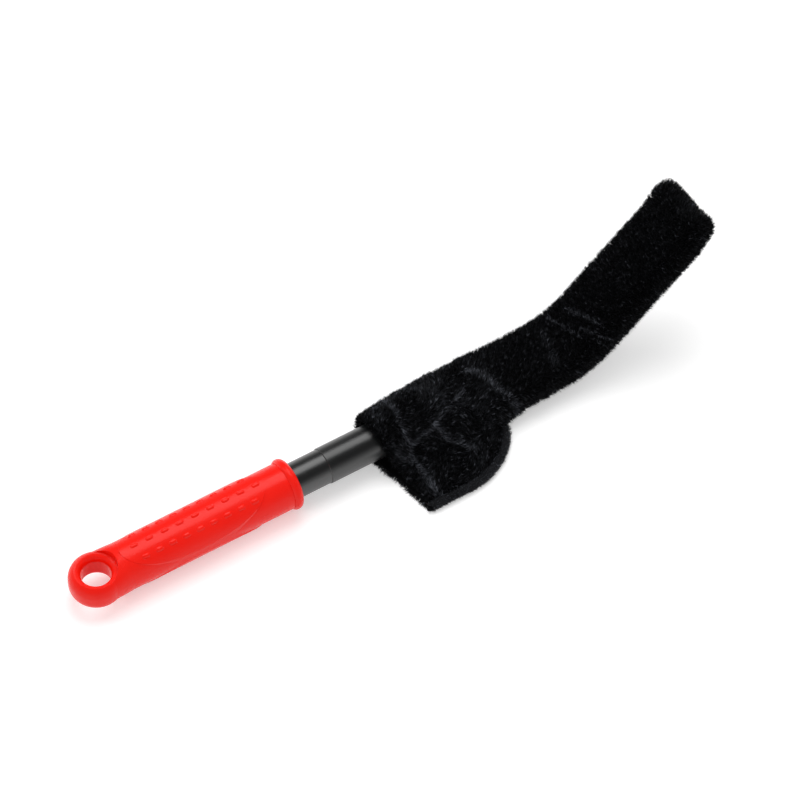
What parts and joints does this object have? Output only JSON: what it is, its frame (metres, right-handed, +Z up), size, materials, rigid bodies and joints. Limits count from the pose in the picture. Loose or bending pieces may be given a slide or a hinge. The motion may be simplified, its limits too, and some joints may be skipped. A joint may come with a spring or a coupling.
{
  "type": "wheel brush",
  "caption": "Bendable plush wheel brush: a moulded grip with a hang loop, a tube and neck, and a padded blade in a removable plush sleeve with a flared cuff.",
  "frame": {"origin": "on the surface the tool lies on, below the middle of its length and width", "axes": "+X along the handle from the hang loop to the blade, +Y to the left, +Z up from the surface"},
  "size_m": [0.4424, 0.0756, 0.1017],
  "materials": {
    "grip": "glossy moulded plastic, saturated red",
    "handle_tube": "satin black plastic tube",
    "neck": "satin black moulded plastic",
    "rivets": "bare rivet metal",
    "core_strip": "rolled soft-temper strip",
    "foam": "open-cell foam",
    "plush": "short black plush pile",
    "binding": "smooth woven binding tape",
    "end_cap": "matt moulded rubber"
  },
  "bodies": {
    "handle": {"grip": "grip", "handle_tube": "handle_tube", "neck": "neck", "strip_rivets": "rivets", "edge_binding": "binding", "core_strip_rear": "core_strip", "core_strip_bend": "core_strip", "upper_pad_rear": "foam", "upper_pad_bend": "foam", "lower_pad_rear": "foam", "lower_pad_bend": "foam", "upper_panel_rear": "plush", "upper_panel_bend": "plush", "lower_panel_rear": "plush", "lower_panel_bend": "plush"},
    "blade_middle": {"core_strip_middle": "core_strip", "core_strip_tip_bend": "core_strip", "upper_pad_middle": "foam", "upper_pad_tip_bend": "foam", "lower_pad_middle": "foam", "lower_pad_tip_bend": "foam", "upper_panel_middle": "plush", "upper_panel_tip_bend": "plush", "lower_panel_middle": "plush", "lower_panel_tip_bend": "plush"},
    "blade_tip": {"core_strip_tip": "core_strip", "upper_pad_tip": "foam", "lower_pad_tip": "foam", "upper_panel_tip": "plush", "lower_panel_tip": "plush", "strip_end_cap": "end_cap"}
  },
  "joints": [
    {"name": "middle_bend", "type": "hinge", "parent": "handle", "child": "blade_middle", "pos_m": [0.12955, 0.01315, 0.01775], "axis": [0, -1, 0], "range_deg": [-37, 53], "deforming": ["core_strip_bend", "upper_pad_bend", "lower_pad_bend", "upper_panel_bend", "lower_panel_bend"]},
    {"name": "tip_bend", "type": "hinge", "parent": "blade_middle", "child": "blade_tip", "pos_m": [0.1768, 0.01315, 0.06029], "axis": [0, -1, 0], "range_deg": [0, 60], "deforming": ["core_strip_tip_bend", "upper_pad_tip_bend", "lower_pad_tip_bend", "upper_panel_tip_bend", "lower_panel_tip_bend"]}
  ]
}
